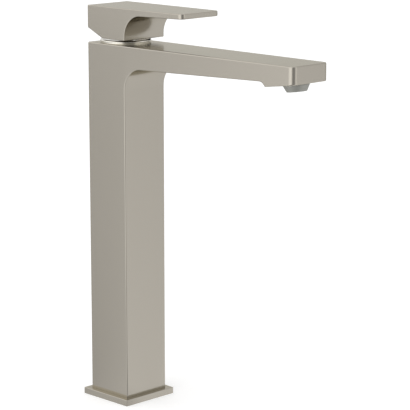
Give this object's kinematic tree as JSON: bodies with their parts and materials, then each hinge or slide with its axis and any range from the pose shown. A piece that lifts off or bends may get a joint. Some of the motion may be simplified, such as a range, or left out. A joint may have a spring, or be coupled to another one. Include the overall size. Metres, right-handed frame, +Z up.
{
  "type": "basin faucet",
  "caption": "Tall lever-operated basin faucet with a square column, slim tapering spout, round aerator and flat lever that swivels for temperature and lifts for flow.",
  "frame": {"origin": "on the deck, at the centre of the deck plate's lower face, under the column's axis", "axes": "+Z up the column, -Y the way the spout and lever point, +X to the right of the person facing the spout (cold side)"},
  "size_m": [0.051, 0.2195, 0.3142],
  "materials": {
    "brushed_nickel": "warm satin nickel, finely brushed",
    "nozzle_nickel": "satin nickel",
    "polished_nickel": "polished nickel",
    "black_rubber": "matt",
    "brass": "machined",
    "copper": "drawn tube",
    "steel": "turned",
    "white_plastic": "moulded",
    "red_plastic": "moulded",
    "grey_plastic": "moulded",
    "ceramic": "lapped alumina"
  },
  "bodies": {
    "mixer_body": {"body_casting": "brushed_nickel", "base_plate": "brushed_nickel", "aerator_housing": "nozzle_nickel", "trim_ring": "polished_nickel", "base_gasket": "black_rubber", "riser_seals": "black_rubber", "port_seals": "black_rubber", "disc_seals": "black_rubber", "shell_seal": "black_rubber", "trim_seal": "black_rubber", "aerator_washer": "black_rubber", "inlet_block": "brass", "cartridge_nut": "brass", "hot_riser": "copper", "cold_riser": "copper", "block_screws": "steel", "aerator_screen": "steel", "cartridge_manifold": "white_plastic", "cartridge_shell": "white_plastic", "limit_ring": "red_plastic", "flow_regulator": "grey_plastic", "aerator_core": "grey_plastic", "fixed_disc": "ceramic"},
    "cartridge_turret": {"turret": "white_plastic", "stem_pin": "steel"},
    "lever": {"stem": "steel", "handle": "brushed_nickel", "set_screw": "steel", "screw_cap": "brushed_nickel"},
    "ceramic_disc": {"moving_disc": "ceramic", "disc_carrier": "white_plastic"}
  },
  "joints": [
    {"name": "temperature_swivel", "type": "hinge", "parent": "mixer_body", "child": "cartridge_turret", "pos_m": [0, 0, 0.2835], "axis": [0, 0, 1], "range_deg": [-50, 50]},
    {"name": "flow_lift", "type": "hinge", "parent": "cartridge_turret", "child": "lever", "pos_m": [0, 0, 0.2835], "axis": [-1, 0, 0], "range_deg": [0, 24]},
    {"name": "disc_slide", "type": "slide", "parent": "cartridge_turret", "child": "ceramic_disc", "axis": [0, -1, 0], "range_m": [0, 0.005]}
  ],
  "couplings": [
    {"joint": "disc_slide", "follows": "flow_lift", "m_per_rad": 0.01165}
  ]
}
